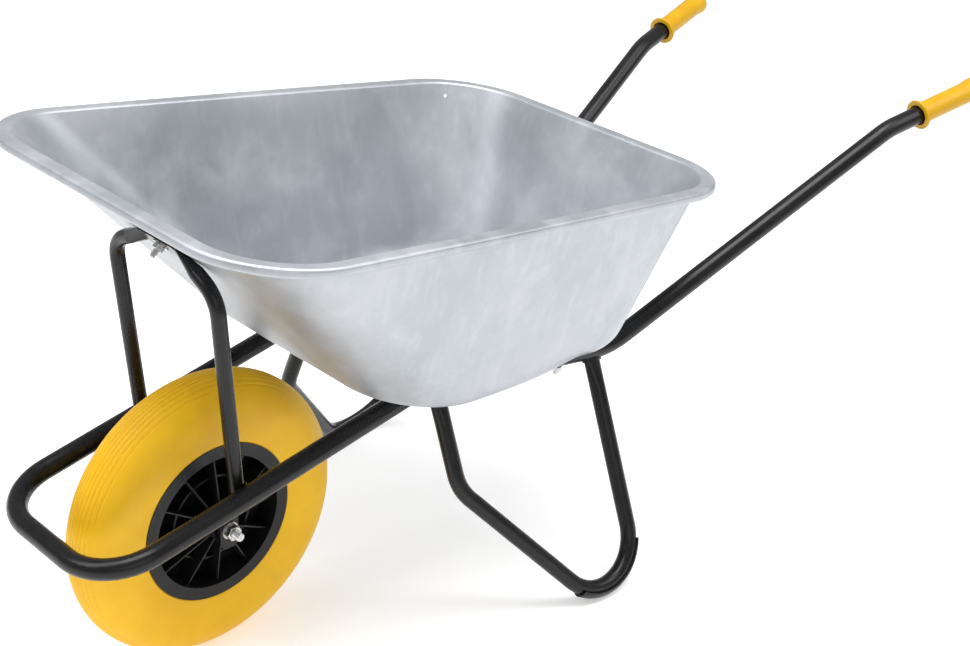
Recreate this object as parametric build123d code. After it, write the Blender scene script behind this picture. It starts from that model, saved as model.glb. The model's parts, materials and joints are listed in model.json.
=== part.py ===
from build123d import *
import math
import os

# Wheelbarrow with one wheel, standing on its wheel and two legs. All sizes in millimetres.
# While it is drawn, X runs forward from the wheel's axle, Y to the left and Z up from the
# floor. save() then moves each piece so that the origin is under the middle of the whole.

# ---- sizes that can be set one by one ----

# wheel
TYRE_R = 200.0            # outer radius of the tyre, so also the height of the axle
TYRE_HALF_W = 43.0
TYRE_WIDEST_R = 156.0     # radius at which the tyre is widest
TYRE_BEAD_INSET = 1.0     # from the rim flange's outer face in to where the tyre starts
TYRE_BEAD_LEAN = 0.3      # how much the tyre's side widens there for each step outwards
RIM_R = 112.5             # outer radius of the rim's flanges
RIM_HALF_W = 37.5
RIM_FLANGE_T = 4.0
RIM_SEAT_R = 99.0         # the tyre sits on this
RIM_WALL = 4.0
RIM_WEB_T = 5.0
RIM_RING_R = 60.0         # middle radius of the stiffening ring on the web
RIM_RING_T = 3.0
RIM_RING_DEPTH = 22.0
RIB_COUNT = 12
RIB_T = 2.0
RIB_SETBACK = 8.0         # from the rim's and the hub's faces down to a rib's edge
HUB_WALL = 5.0
HUB_HALF_L = 50.0
ROOT = 2.0                # how deep a rib or the web runs into what it grows from

# bearing, a common deep-groove size
BEARING_OD = 32.0
BEARING_W = 10.0
BEARING_RECESS = 2.0      # from the hub's end to the bearing's face
BALL_SHARE = 0.595        # a ball's width as a share of the room between bore and outside
BALL_COUNT = 7
GROOVE_DEPTH = 0.575      # from a ring's shoulders down to its groove, apart from the gap
BALL_GAP = 0.1            # between a ball and each groove
CAGE_T = 1.0
CAGE_W = 8.0

# axle
AXLE_D = 12.0
AXLE_FIT = 0.05           # radial clearance of the pieces threaded on the axle
AXLE_NUT_AF = 19.0
AXLE_NUT_H = 10.5
AXLE_HEAD_H = 7.5
AXLE_END = 12.0            # how far the axle's end stands out of its nut
AXLE_CHAMFER = 1.2
AXLE_WASHER_R = 12.0
AXLE_WASHER_T = 2.5
SPACER_WALL = 2.5
HUB_BORE_GAP = 4.0        # between the hub's bore and the spacer inside it
HUB_TO_BRACE = 4.5        # from each end of the hub to the brace's end beside it

# frame tube: corner points of its centre line on the left side, from the front backwards
TUBE_R = 13.75
TUBE_WALL = 1.5
FRONT_CORNER = (TYRE_R + 31.0, 124.5, TYRE_R + 50.5)
PAN_FRONT_BEND = (-TYRE_R - 71.5, 128.5, 2 * TYRE_R - 53.5)
REAR_BEND_STEP = (-337.0, 19.5, -47.5)      # from the bend before it
HANDLE_BEND_STEP = (-488.5, 98.5, 246.5)
HANDLE_STEP = (-305.0, 54.5, 61.0)          # the way that the handle's last stretch points
FRONT_BEND_R = 78.0
PAN_BEND_R = 100.0
HANDLE_BEND_R = 100.0
HANDLE_STRAIGHT = 175.0   # from the handle's bend to the tube's end

# grips
GRIP_START = 60.0         # from the handle's bend to the grip's collar
GRIP_L = 128.0
GRIP_WALL = 2.75
GRIP_SWELL = 2.0          # how much the radius grows towards the end
GRIP_SWELL_FROM = 92.0    # from the collar to where it starts to grow
GRIP_DOME_L = 11.0
GRIP_END_FLAT_R = 6.0
GRIP_COLLAR = 6.5         # how far the collar stands out from the grip
GRIP_COLLAR_T = 4.0
GRIP_COLLAR_ROUND = 1.6
GRIP_MOUTH_GAP = 2.25     # between the tube and the mouth's wall
GRIP_MOUTH_DEPTH = 7.0

# legs: corner points of the centre line on the left side, from the tube's front bend
LEG_R = 11.5
LEG_WALL = 1.5
LEG_FRONT_TOP_SHARE = 0.05    # place along the straight stretch of tube under the pan
LEG_REAR_TOP_SHARE = 0.90
LEG_BEND_STEP = (-15.5, 58.0, -140.5)
LEG_FOOT_STEP = (-271.0, 212.5)    # its height is found from the floor
FOOT_TRIES = 20                    # rounds of the search for that height
LEG_BEND_R = 65.0
LEG_FOOT_R = 71.0
LEG_FLAT_L = 55.0             # length over which a leg's top is flattened
LEG_FLAT_HALF_W = 14.5
LEG_FLAT_HALF_T = 7.5
FOOT_PLATE_T = 3.5
FOOT_PLATE_HALF_ANGLE = 62.0
FOOT_PLATE_BARE = 0.12        # share of the bend that the plate leaves bare at each end
WELD = 2.5
WELD_ROOT = 0.3           # gap that the weld fills between the brace and the rail

# front brace
BRACE_R = 10.0
BRACE_WALL = 1.5
BRACE_CORNER_SHARE = 0.658    # place of the brace's upper corners along the pan's front wall
BRACE_CORNER_OFF = 23.8       # and their distance from it
BRACE_CORNER_Y = 107.0
BRACE_CORNER_R = 40.0
BRACE_TOP_SHARE = 0.72        # place of the brace's middle along the pan's front wall
BRACE_AT_RAIL_X = 16.5
BRACE_LOW_BEND_R = 45.0
BRACE_FLAT_HALF_L = 36.0
BRACE_FLAT_HALF_W = 14.5
BRACE_FLAT_HALF_T = 2.75
BRACE_SLIT_HALF = 0.7         # half of the slit left inside the flattened tube
BRACE_TAPER = 36.0            # from the round tube to the flattened part
BRACE_END_DROP = 28.0         # from the axle to the brace's lower end
BRACE_FLAT_RISE = 24.0        # from the axle up to where the end starts to taper
BRACE_END_CORNER = 7.0

# pan: lengths along its floor, forward from the front bend of the tube under it
PAN_T = 1.5
FLOOR_FRONT = 121.0
FLOOR_REAR = -348.0
FLOOR_FRONT_HALF = 226.0
FLOOR_REAR_HALF = 188.0
FLOOR_CORNER_R = 98.0
FLOOR_EDGE_R = 52.0
RIM_FRONT = 452.0
RIM_REAR = -419.0
RIM_FRONT_HEIGHT = 270.0      # above the floor's underside
RIM_REAR_HEIGHT = 267.5
RIM_FRONT_HALF = 313.5
RIM_REAR_HALF = 280.0
RIM_CORNER_R = 125.0
RIM_BULGE = 4.0               # how far the long sides bow out
RIM_W = 20.5
RIM_LIP = 12.5
RIM_ROUND = 4.5
HANG_HOLE_R = 2.5
HANG_HOLE_FROM_REAR = 78.0
HANG_HOLE_DROP = 20.0

# small fasteners
HEX_CHAMFER_SHARE = 0.07      # of a nut's width across its flats
BOLT_HEAD_ROUND = 3.2
BOLT_R = 4.0
BOLT_FIT = 0.25
BOLT_HEAD_R = 9.0
BOLT_HEAD_H = 4.0
SMALL_WASHER_R = 11.0
SMALL_WASHER_T = 1.5
SMALL_NUT_AF = 13.0
SMALL_NUT_H = 6.5
SMALL_BOLT_END = 5.0
BRACE_BOLT_END = 11.0         # the bolt through the brace is a longer one
PAN_BOLT_SHARES = (0.25, 0.72)   # places along the straight stretch of tube under the pan

THROUGH = 4.0             # a cutter is this many times as long as what it cuts

# ---- sizes that follow from those ----

AXLE_HEIGHT = TYRE_R
AXLE_R = AXLE_D / 2
SPACER_R = AXLE_R + SPACER_WALL
HUB_R = BEARING_OD / 2 + HUB_WALL
BEARING_SECTION = BEARING_OD / 2 - AXLE_R
BALL_R = BEARING_SECTION * BALL_SHARE / 2
RACE_T = BEARING_SECTION / 2 - BALL_R + GROOVE_DEPTH
GRIP_R = TUBE_R + GRIP_WALL
GRIP_END_R = GRIP_R + GRIP_SWELL


# ---- general helpers ----

def bend_arc(before, corner, after, radius):
    """The arc that rounds one corner of a line, tangent to both stretches."""
    back = (before - corner).normalized()
    ahead = (after - corner).normalized()
    half = math.radians(back.get_angle(ahead) / 2)
    reach = radius / math.tan(half)
    inward = (back + ahead).normalized()
    centre = corner + inward * (radius / math.sin(half))
    middle = centre - inward * radius
    return ThreePointArc(corner + back * reach, middle, corner + ahead * reach)


def bent_line(points, radii):
    """Straight stretches through the points, each inner corner rounded."""
    corners = [Vector(*p) for p in points]
    edges = []
    start = corners[0]
    for i, radius in enumerate(radii):
        arc = bend_arc(corners[i], corners[i + 1], corners[i + 2], radius)
        edges.append(Line(start, arc @ 0))
        edges.append(arc)
        start = arc @ 1
    edges.append(Line(start, corners[-1]))
    return Wire([e.edge() for e in edges])


def rod(line, radius):
    """A round bar along a line."""
    return sweep(Plane(origin=line @ 0, z_dir=line % 0) * Circle(radius), path=line)


def tube(line, radius, wall):
    return rod(line, radius) - rod(line, radius - wall)


def flattening(round_at, round_dir, radius, flat_at, flat_dir, wide_dir, half_w, half_t):
    """A tube's solid change from round to an oval, wide along wide_dir."""
    wide = wide_dir - round_dir * wide_dir.dot(round_dir)
    round_face = Plane(origin=round_at, x_dir=wide, z_dir=round_dir) * Circle(radius)
    wide = wide_dir - flat_dir * wide_dir.dot(flat_dir)
    oval_face = Plane(origin=flat_at, x_dir=wide, z_dir=flat_dir) * Ellipse(half_w, half_t)
    return loft([round_face, oval_face])


def mirrored(shape):
    return mirror(shape, about=Plane.XZ)


def mirrored_all(shapes):
    """The mirrored copy of a shape, or of each shape in a list."""
    return [mirrored(shape) for shape in shapes] if isinstance(shapes, list) else mirrored(shapes)


def as_vector(point):
    return Vector(*point)


def step_from(point, step):
    return tuple(p + d for p, d in zip(point, step))


def standing_cylinder(radius, height):
    """A cylinder standing on the XY plane."""
    return Cylinder(radius, height, align=(Align.CENTER, Align.CENTER, Align.MIN))


def hex_bar(across_flats, height, hole_r):
    """A hexagon nut standing on the XY plane."""
    nut = extrude(RegularPolygon(across_flats / 2, 6, major_radius=False), height)
    round_off = standing_cylinder(across_flats / math.sqrt(3), height)
    round_off = chamfer(round_off.edges().group_by(Axis.Z)[-1], across_flats * HEX_CHAMFER_SHARE)
    nut = nut & round_off
    if hole_r > 0:
        nut = nut - Cylinder(hole_r, THROUGH * height)
    return nut


def washer(outer_r, inner_r, thickness):
    """A washer standing on the XY plane."""
    return extrude(Circle(outer_r) - Circle(inner_r), thickness)


# ---- frame tube ----

PAN_REAR_BEND = step_from(PAN_FRONT_BEND, REAR_BEND_STEP)
HANDLE_BEND = step_from(PAN_REAR_BEND, HANDLE_BEND_STEP)
HANDLE_DIR = as_vector(HANDLE_STEP).normalized()
TUBE_END = as_vector(HANDLE_BEND) + HANDLE_DIR * HANDLE_STRAIGHT


def frame_line():
    left = [tuple(TUBE_END), HANDLE_BEND, PAN_REAR_BEND, PAN_FRONT_BEND, FRONT_CORNER]
    right = [(x, -y, z) for x, y, z in reversed(left)]
    radii = [HANDLE_BEND_R, PAN_BEND_R, PAN_BEND_R, FRONT_BEND_R]
    return bent_line(left + right, radii + radii[::-1])


def under_pan(share):
    """A point of the left tube's centre line, between its two bends under the pan."""
    front = as_vector(PAN_FRONT_BEND)
    return front + (as_vector(PAN_REAR_BEND) - front) * share


RAIL_DIR = (under_pan(0) - under_pan(1)).normalized()


def rail_bar():
    """The left half of the frame tube as a solid bar, for cutting what meets it."""
    points = [tuple(TUBE_END), HANDLE_BEND, PAN_REAR_BEND, PAN_FRONT_BEND, FRONT_CORNER]
    radii = [HANDLE_BEND_R, PAN_BEND_R, PAN_BEND_R]
    return rod(bent_line(points, radii), TUBE_R)


# ---- pan's own frame: X forward along its floor, Z square to the floor ----

FLOOR_SLOPE = math.atan2(-REAR_BEND_STEP[2], -REAR_BEND_STEP[0])
FLOOR_UP = Vector(-math.sin(FLOOR_SLOPE), 0, math.cos(FLOOR_SLOPE))
FLOOR_AHEAD = Vector(math.cos(FLOOR_SLOPE), 0, math.sin(FLOOR_SLOPE))
FLOOR_PLANE = Plane(
    origin=Vector(PAN_FRONT_BEND[0], 0, PAN_FRONT_BEND[2]) + FLOOR_UP * TUBE_R,
    x_dir=FLOOR_AHEAD,
    z_dir=FLOOR_UP,
)
RIM_SLOPE = math.atan2(RIM_FRONT_HEIGHT - RIM_REAR_HEIGHT, RIM_FRONT - RIM_REAR)
RIM_LENGTH = math.hypot(RIM_FRONT_HEIGHT - RIM_REAR_HEIGHT, RIM_FRONT - RIM_REAR)
RIM_PLANE = Plane(
    origin=((RIM_FRONT + RIM_REAR) / 2, 0, (RIM_FRONT_HEIGHT + RIM_REAR_HEIGHT) / 2),
    x_dir=(math.cos(RIM_SLOPE), 0, math.sin(RIM_SLOPE)),
    z_dir=(-math.sin(RIM_SLOPE), 0, math.cos(RIM_SLOPE)),
)


def outline(front, rear, front_half, rear_half, corner_r, bulge):
    """A flat face like a rounded trapezoid, its long sides bowed out a little."""
    middle = (front + rear) / 2
    middle_half = (front_half + rear_half) / 2 + bulge
    left = ThreePointArc((rear, rear_half), (middle, middle_half), (front, front_half))
    right = ThreePointArc((front, -front_half), (middle, -middle_half), (rear, -rear_half))
    front_end = Line((front, front_half), (front, -front_half))
    rear_end = Line((rear, -rear_half), (rear, rear_half))
    face = make_face([left, front_end, right, rear_end])
    return fillet(face.vertices(), corner_r)


def lean(rise, run):
    """The angle between a wall and the floor."""
    return math.atan2(rise, run)


FRONT_LEAN = lean(RIM_FRONT_HEIGHT, RIM_FRONT - RIM_W - FLOOR_FRONT)
REAR_LEAN = lean(RIM_REAR_HEIGHT, FLOOR_REAR - RIM_REAR - RIM_W)
SIDE_LEAN = lean(RIM_FRONT_HEIGHT, RIM_FRONT_HALF - RIM_W - FLOOR_FRONT_HALF)


def floor_outline(skin):
    """The floor's outline, at a skin's depth inside the outer faces."""
    side_inset = skin * math.tan(SIDE_LEAN / 2)
    front = FLOOR_FRONT - skin * math.tan(FRONT_LEAN / 2)
    rear = FLOOR_REAR + skin * math.tan(REAR_LEAN / 2)
    face = outline(front, rear, FLOOR_FRONT_HALF - side_inset, FLOOR_REAR_HALF - side_inset,
                   FLOOR_CORNER_R - skin, RIM_BULGE)
    return Pos(0, 0, skin) * face


def mouth_outline(skin):
    """The outline of the pan's mouth inside the flange, at a skin's depth."""
    side_inset = RIM_W + skin / math.sin(SIDE_LEAN)
    front = RIM_LENGTH / 2 - RIM_W - skin / math.sin(FRONT_LEAN)
    rear = -RIM_LENGTH / 2 + RIM_W + skin / math.sin(REAR_LEAN)
    return outline(front, rear, RIM_FRONT_HALF - side_inset, RIM_REAR_HALF - side_inset,
                   RIM_CORNER_R - RIM_W - skin, RIM_BULGE)


def pan_block(skin):
    """The pan's body as a filled block, in the pan's own frame, at a skin's depth."""
    block = loft([floor_outline(skin), RIM_PLANE * mouth_outline(skin)], ruled=True)
    return fillet(block.faces().sort_by(Axis.Z)[0].edges(), FLOOR_EDGE_R - skin)


def rim_outline(inset):
    """The flange's outer outline."""
    half = RIM_LENGTH / 2 - inset
    front_half = RIM_FRONT_HALF - inset
    rear_half = RIM_REAR_HALF - inset
    return outline(half, -half, front_half, rear_half, RIM_CORNER_R - inset, RIM_BULGE)


def rim_flange():
    """The rim's flat flange with its turned-down lip, in the pan's own frame, not yet opened."""
    outside = extrude(rim_outline(0), -RIM_LIP)
    outside = fillet(outside.faces().sort_by(Axis.Z)[-1].edges(), RIM_ROUND)
    core = extrude(Pos(0, 0, -PAN_T) * rim_outline(PAN_T), -RIM_LIP)
    core = fillet(core.faces().sort_by(Axis.Z)[-1].edges(), RIM_ROUND - PAN_T)
    return RIM_PLANE * (outside - core)


def front_wall_point(share):
    """A point in the middle of the front wall's outer face, from the floor up to the rim."""
    low = Vector(FLOOR_FRONT, 0, 0)
    high = RIM_PLANE.from_local_coords(Vector(RIM_LENGTH / 2 - RIM_W, 0, 0))
    return FLOOR_PLANE.from_local_coords(low + (high - low) * share)


WALL_UP = (front_wall_point(1) - front_wall_point(0)).normalized()
WALL_OUT = Vector(WALL_UP.Z, 0, -WALL_UP.X)


def pan_bolt_planes():
    """The places of the four bolts in the pan's floor, on the floor's underside."""
    planes = []
    for share in PAN_BOLT_SHARES:
        for side in (1, -1):
            centre = under_pan(share)
            origin = Vector(centre.X, centre.Y * side, centre.Z) + FLOOR_UP * TUBE_R
            planes.append(Plane(origin=origin, x_dir=FLOOR_AHEAD, z_dir=FLOOR_UP))
    return planes


def brace_bolt_plane():
    """The place of the brace's bolt, on the outer face of the pan's front wall."""
    return Plane(origin=front_wall_point(BRACE_TOP_SHARE), x_dir=(0, 1, 0), z_dir=WALL_OUT * -1)


def hang_hole():
    """A small hole high in the right wall near the rear, where the pan hung while dipped in zinc."""
    at = Pos(-RIM_LENGTH / 2 + HANG_HOLE_FROM_REAR, -RIM_REAR_HALF, -HANG_HOLE_DROP)
    return FLOOR_PLANE * (RIM_PLANE * (at * (Rot(90, 0, 0) * Cylinder(HANG_HOLE_R, THROUGH * RIM_W))))


def pan():
    outside = pan_block(0)
    body = FLOOR_PLANE * ((outside - pan_block(PAN_T)) + (rim_flange() - outside))
    for plane in pan_bolt_planes() + [brace_bolt_plane()]:
        body -= plane * Cylinder(BOLT_R + BOLT_FIT, 2 * TUBE_R)
    return body - hang_hole()


# ---- legs ----

def lowest_of_bend(before, corner, after, radius):
    """The height of a bend's lowest point on the centre line."""
    back = (before - corner).normalized()
    ahead = (after - corner).normalized()
    half = math.radians(back.get_angle(ahead) / 2)
    centre = corner + (back + ahead).normalized() * (radius / math.sin(half))
    tilt = back.cross(ahead).normalized().Z
    return centre.Z - radius * math.sqrt(1 - tilt * tilt)


LEG_BEND = step_from(PAN_FRONT_BEND, LEG_BEND_STEP)
LEG_FRONT_TOP = under_pan(LEG_FRONT_TOP_SHARE)
LEG_REAR_TOP = under_pan(LEG_REAR_TOP_SHARE)


def foot_corner():
    """The leg's lower corner point, at the height that puts the wear plate on the floor."""
    wanted = LEG_R + FOOT_PLATE_T
    corner = Vector(PAN_FRONT_BEND[0] + LEG_FOOT_STEP[0], PAN_FRONT_BEND[1] + LEG_FOOT_STEP[1], 0)
    for _ in range(FOOT_TRIES):
        low = lowest_of_bend(as_vector(LEG_BEND), corner, LEG_REAR_TOP, LEG_FOOT_R)
        corner = corner + Vector(0, 0, wanted - low)
    return corner


FOOT_CORNER = foot_corner()


def leg_filled(radius, half_w, half_t):
    """The left leg as a filled shape, its ends flattened and reaching the rail's centre line."""
    front_up = (LEG_FRONT_TOP - as_vector(LEG_BEND)).normalized()
    rear_up = (LEG_REAR_TOP - FOOT_CORNER).normalized()
    front_start = LEG_FRONT_TOP - front_up * LEG_FLAT_L
    rear_end = LEG_REAR_TOP - rear_up * LEG_FLAT_L
    points = [tuple(front_start), LEG_BEND, tuple(FOOT_CORNER), tuple(rear_end)]
    shape = rod(bent_line(points, [LEG_BEND_R, LEG_FOOT_R]), radius)
    for top, up in ((LEG_FRONT_TOP, front_up), (LEG_REAR_TOP, rear_up)):
        shape += flattening(top - up * LEG_FLAT_L, up, radius, top, up, RAIL_DIR, half_w, half_t)
    return shape


def left_leg(rail):
    outside = leg_filled(LEG_R, LEG_FLAT_HALF_W, LEG_FLAT_HALF_T)
    inside = leg_filled(LEG_R - LEG_WALL, LEG_FLAT_HALF_W - LEG_WALL, LEG_FLAT_HALF_T - LEG_WALL)
    return outside - inside - rail


def left_foot_plate():
    """The curved plate under the leg's low bend."""
    arc = bend_arc(as_vector(LEG_BEND), FOOT_CORNER, LEG_REAR_TOP, LEG_FOOT_R)
    arc = arc.trim(FOOT_PLATE_BARE, 1 - FOOT_PLATE_BARE)
    start = arc @ 0
    along = arc % 0
    outward = (FOOT_CORNER - arc @ 0.5).normalized()
    outward = (outward - along * outward.dot(along)).normalized()
    angle = math.radians(FOOT_PLATE_HALF_ANGLE)

    def arc_at(radius):
        side = radius * math.sin(angle)
        deep = radius * math.cos(angle)
        return ThreePointArc((deep, -side), (radius, 0), (deep, side))

    inner = arc_at(LEG_R)
    outer = arc_at(LEG_R + FOOT_PLATE_T)
    face = make_face([inner, Line(inner @ 1, outer @ 1), outer, Line(outer @ 0, inner @ 0)])
    return sweep(Plane(origin=start, x_dir=outward, z_dir=along) * face, path=arc)


def top_welds(rail):
    """The weld beads round the tops of the left leg."""
    leg = leg_filled(LEG_R, LEG_FLAT_HALF_W, LEG_FLAT_HALF_T)
    beads = []
    for top, below in ((LEG_FRONT_TOP, as_vector(LEG_BEND)), (LEG_REAR_TOP, FOOT_CORNER)):
        down = (below - top).normalized()
        wide = RAIL_DIR - down * RAIL_DIR.dot(down)
        oval = Ellipse(LEG_FLAT_HALF_W + WELD, LEG_FLAT_HALF_T + WELD)
        post = extrude(Plane(origin=top, x_dir=wide, z_dir=down) * oval, THROUGH * TUBE_R, dir=down)
        rail_grown = Plane(origin=top, z_dir=RAIL_DIR) * Cylinder(TUBE_R + WELD, THROUGH * LEG_FLAT_HALF_W)
        beads.append((post & rail_grown) - rail - leg)
    return beads


# ---- front brace ----

def rail_beside_brace():
    """The left rail's centre line beside the brace's leg."""
    front = as_vector(FRONT_CORNER)
    rear = as_vector(PAN_FRONT_BEND)
    share = (front.X - BRACE_AT_RAIL_X) / (front.X - rear.X)
    return front + (rear - front) * share


BRACE_MIDDLE = front_wall_point(BRACE_TOP_SHARE) + WALL_OUT * BRACE_FLAT_HALF_T
BRACE_CORNER = front_wall_point(BRACE_CORNER_SHARE) + WALL_OUT * BRACE_CORNER_OFF
BRACE_CORNER = BRACE_CORNER + Vector(0, BRACE_CORNER_Y, 0)
BRACE_END_Y = HUB_HALF_L + HUB_TO_BRACE + BRACE_FLAT_HALF_T
BESIDE_RAIL = rail_beside_brace()
BRACE_LOW_BEND = BESIDE_RAIL - Vector(0, TUBE_R + BRACE_R + WELD_ROOT, TUBE_R)


def brace_filled(radius, half_w, half_t):
    """The brace's left half as a filled shape."""
    flat_top = BRACE_MIDDLE + Vector(0, BRACE_FLAT_HALF_L, 0)
    top_dir = (BRACE_CORNER - flat_top).normalized()
    round_top = flat_top + top_dir * BRACE_TAPER
    flat_low = Vector(0, BRACE_END_Y, AXLE_HEIGHT + BRACE_FLAT_RISE)
    low_dir = (flat_low - BRACE_LOW_BEND).normalized()
    round_low = flat_low - low_dir * BRACE_TAPER
    points = [tuple(p) for p in (round_top, BRACE_CORNER, BRACE_LOW_BEND, round_low)]
    shape = rod(bent_line(points, [BRACE_CORNER_R, BRACE_LOW_BEND_R]), radius)
    inward = Vector(0, -1, 0)
    down = Vector(0, 0, -1)
    ahead = Vector(1, 0, 0)
    shape += flattening(round_top, top_dir * -1, radius, flat_top, inward, WALL_UP, half_w, half_t)
    shape += flattening(round_low, low_dir, radius, flat_low, down, ahead, half_w, half_t)
    return shape


def brace_end():
    """The flat left end that carries the axle."""
    height = BRACE_FLAT_RISE + BRACE_END_DROP
    end = Box(2 * BRACE_FLAT_HALF_W, 2 * BRACE_FLAT_HALF_T, height)
    lower = end.edges().filter_by(Axis.Y).group_by(Axis.Z)[0]
    end = chamfer(lower, BRACE_END_CORNER)
    centre_z = AXLE_HEIGHT + (BRACE_FLAT_RISE - BRACE_END_DROP) / 2
    return Pos(0, BRACE_END_Y, centre_z) * end


def brace():
    half = brace_filled(BRACE_R, BRACE_FLAT_HALF_W, BRACE_FLAT_HALF_T)
    half -= brace_filled(BRACE_R - BRACE_WALL, BRACE_FLAT_HALF_W - BRACE_WALL, BRACE_SLIT_HALF)
    half += brace_end()
    middle = Plane(origin=BRACE_MIDDLE, x_dir=WALL_UP, z_dir=(0, 1, 0))
    strip = middle * Box(2 * BRACE_FLAT_HALF_W, 2 * BRACE_FLAT_HALF_T, 2 * BRACE_FLAT_HALF_L)
    whole = half + mirrored(half) + strip
    whole -= Pos(0, 0, AXLE_HEIGHT) * (Rot(90, 0, 0) * Cylinder(AXLE_R + AXLE_FIT, THROUGH * BRACE_END_Y))
    return whole - brace_bolt_plane() * Cylinder(BOLT_R + BOLT_FIT, THROUGH * BRACE_FLAT_HALF_W)


def brace_weld(rail, brace_shape):
    """The weld bead between the brace's left leg and the rail."""
    rail_grown = Plane(origin=BESIDE_RAIL, z_dir=as_vector(FRONT_CORNER) - as_vector(PAN_FRONT_BEND))
    rail_grown = rail_grown * Cylinder(TUBE_R + WELD, THROUGH * BRACE_R)
    reach = Vector(0, 0, 2 * BRACE_R)
    spot = Vector(BRACE_LOW_BEND.X, BRACE_LOW_BEND.Y, BESIDE_RAIL.Z)
    leg_grown = rod(Wire([Line(spot - reach, spot + reach).edge()]), BRACE_R + WELD)
    return (rail_grown & leg_grown) - rail - brace_shape


# ---- grips ----

def left_grip():
    """The handle's grip: a sleeve with a collar, a cupped mouth and a rounded, swollen end."""
    mouth_r = TUBE_R + GRIP_MOUTH_GAP
    collar_r = GRIP_R + GRIP_COLLAR
    top = GRIP_L - GRIP_DOME_L
    bottom = HANDLE_STRAIGHT - GRIP_START
    collar = Polyline((mouth_r, 0), (collar_r, 0), (collar_r, GRIP_COLLAR_T), (GRIP_R, GRIP_COLLAR_T))
    sleeve = Line((GRIP_R, GRIP_COLLAR_T), (GRIP_R, GRIP_SWELL_FROM))
    swell = Spline((GRIP_R, GRIP_SWELL_FROM), (GRIP_END_R, top), tangents=[(0, 1), (0, 1)])
    dome_r = GRIP_END_R - GRIP_END_FLAT_R
    dome = EllipticalCenterArc((GRIP_END_FLAT_R, top), dome_r, GRIP_DOME_L, 0, arc_size=90)
    inside = Polyline(
        (GRIP_END_FLAT_R, GRIP_L),
        (0, GRIP_L),
        (0, bottom),
        (TUBE_R, bottom),
        (TUBE_R, GRIP_MOUTH_DEPTH),
        (mouth_r, GRIP_MOUTH_DEPTH),
        (mouth_r, 0),
    )
    profile = make_face(collar.edges() + [sleeve, swell, dome] + inside.edges())
    grip = revolve(Plane.XZ * profile, Axis.Z)
    collar_edges = grip.edges().filter_by(GeomType.CIRCLE).sort_by(SortBy.RADIUS)[-2:]
    grip = fillet(collar_edges, GRIP_COLLAR_ROUND)
    origin = as_vector(HANDLE_BEND) + HANDLE_DIR * GRIP_START
    return Plane(origin=origin, z_dir=HANDLE_DIR) * grip


# ---- wheel: drawn about the Y axis, then lifted to the axle's height ----

def on_axle(shape):
    return Pos(0, 0, AXLE_HEIGHT) * shape


def turned(lines):
    """A solid turned about the Y axis from lines given as (radius, y)."""
    return revolve(make_face(lines), Axis.Y)


def ring(outer_r, inner_r, low_y, high_y):
    """A plain ring about the Y axis."""
    corners = [(inner_r, low_y), (outer_r, low_y), (outer_r, high_y), (inner_r, high_y)]
    return turned(Polyline(*corners, close=True).edges())


def tyre():
    seat_half = RIM_HALF_W - RIM_FLANGE_T
    bead_y = RIM_HALF_W - TYRE_BEAD_INSET
    leans = [(1, TYRE_BEAD_LEAN), (1, 0)]
    side = Spline((RIM_R, bead_y), (TYRE_WIDEST_R, TYRE_HALF_W), tangents=leans)
    crown = EllipticalCenterArc((TYRE_WIDEST_R, 0), TYRE_R - TYRE_WIDEST_R, TYRE_HALF_W, 0, arc_size=90)
    inside = Polyline(
        (TYRE_R, 0),
        (RIM_SEAT_R, 0),
        (RIM_SEAT_R, seat_half),
        (RIM_R, seat_half),
        (RIM_R, bead_y),
    )
    half = turned(inside.edges() + [side, crown])
    return on_axle(half + mirrored(half))


def rim_rib(angle):
    """One rib on the left side of the web, from the hub to the rim's barrel."""
    low = RIM_WEB_T / 2 - ROOT
    inner = HUB_R - ROOT
    outer = RIM_SEAT_R - RIM_WALL + ROOT
    rim_edge = RIM_HALF_W - RIB_SETBACK
    hub_edge = HUB_HALF_L - RIB_SETBACK
    corners = [(inner, low), (outer, low), (outer, rim_edge), (inner, hub_edge)]
    face = make_face(Polyline(*corners, close=True).edges())
    rib = extrude(face, RIB_T / 2, both=True)
    return Rot(0, angle, 0) * rib


def rim():
    seat_half = RIM_HALF_W - RIM_FLANGE_T
    body = ring(RIM_SEAT_R, RIM_SEAT_R - RIM_WALL, -seat_half, seat_half)
    body += ring(RIM_SEAT_R, HUB_R - ROOT, -RIM_WEB_T / 2, RIM_WEB_T / 2)
    body += ring(HUB_R, SPACER_R + HUB_BORE_GAP, -HUB_HALF_L, HUB_HALF_L)
    for side in (1, -1):
        low, high = sorted((side * seat_half, side * RIM_HALF_W))
        body += ring(RIM_R, RIM_SEAT_R - RIM_WALL, low, high)
        low, high = sorted((0, side * RIM_RING_DEPTH))
        body += ring(RIM_RING_R + RIM_RING_T / 2, RIM_RING_R - RIM_RING_T / 2, low, high)
    ribs = [rim_rib(i * 360 / RIB_COUNT) for i in range(RIB_COUNT)]
    body += ribs + [mirrored(rib) for rib in ribs]
    pocket_low = HUB_HALF_L - BEARING_RECESS - BEARING_W
    for side in (1, -1):
        low, high = sorted((side * pocket_low, side * (HUB_HALF_L + ROOT)))
        body -= ring(BEARING_OD / 2, SPACER_R, low, high)
    return on_axle(body)


# ---- bearings ----

BEARING_MID_Y = HUB_HALF_L - BEARING_RECESS - BEARING_W / 2
BALL_PITCH_R = AXLE_R + BEARING_SECTION / 2


def groove():
    """The doughnut that the balls roll in, with its clearance."""
    return Rot(90, 0, 0) * Torus(BALL_PITCH_R, BALL_R + BALL_GAP)


def at_bearing(shape):
    return on_axle(Pos(0, BEARING_MID_Y, 0) * shape)


def bearing_outer():
    race = ring(BEARING_OD / 2, BEARING_OD / 2 - RACE_T, -BEARING_W / 2, BEARING_W / 2)
    return at_bearing(race - groove())


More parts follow.
